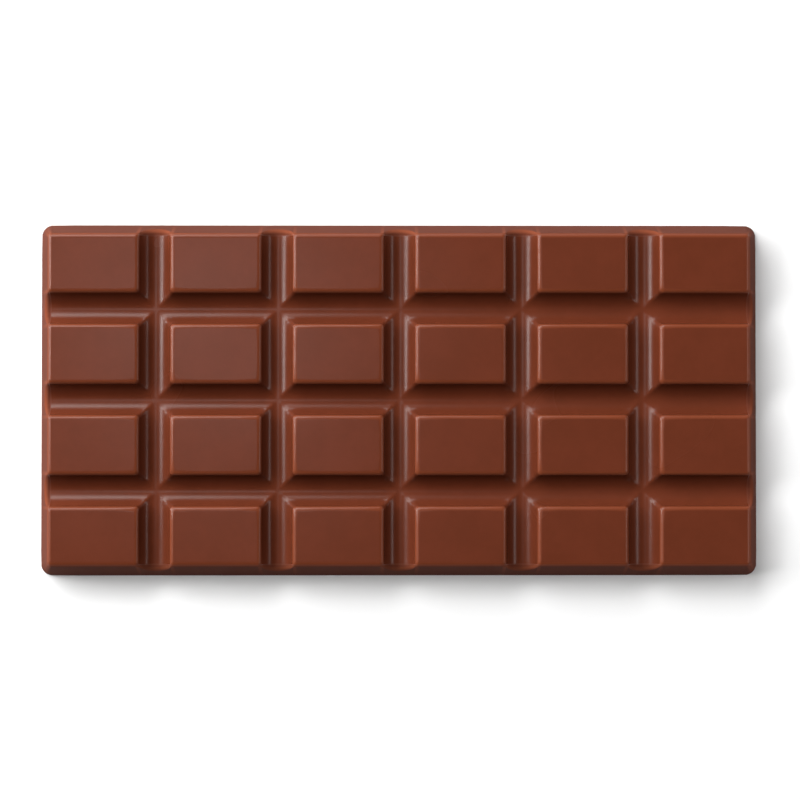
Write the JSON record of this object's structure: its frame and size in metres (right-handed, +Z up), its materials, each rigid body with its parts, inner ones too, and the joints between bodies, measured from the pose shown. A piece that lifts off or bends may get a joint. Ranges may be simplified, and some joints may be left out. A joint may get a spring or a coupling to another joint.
{
  "type": "chocolate bar",
  "caption": "Moulded milk chocolate bar: a drafted slab with round-bottomed break grooves between flat-topped rectangular segments.",
  "frame": {"origin": "centre of the flat underside", "axes": "+X along the bar, +Y across it, +Z up out of the segments"},
  "size_m": [0.156, 0.0764, 0.008],
  "materials": {
    "chocolate": "tempered milk chocolate, soft gloss from the mould"
  },
  "bodies": {
    "root": {"chocolate_bar": "chocolate"}
  },
  "joints": []
}
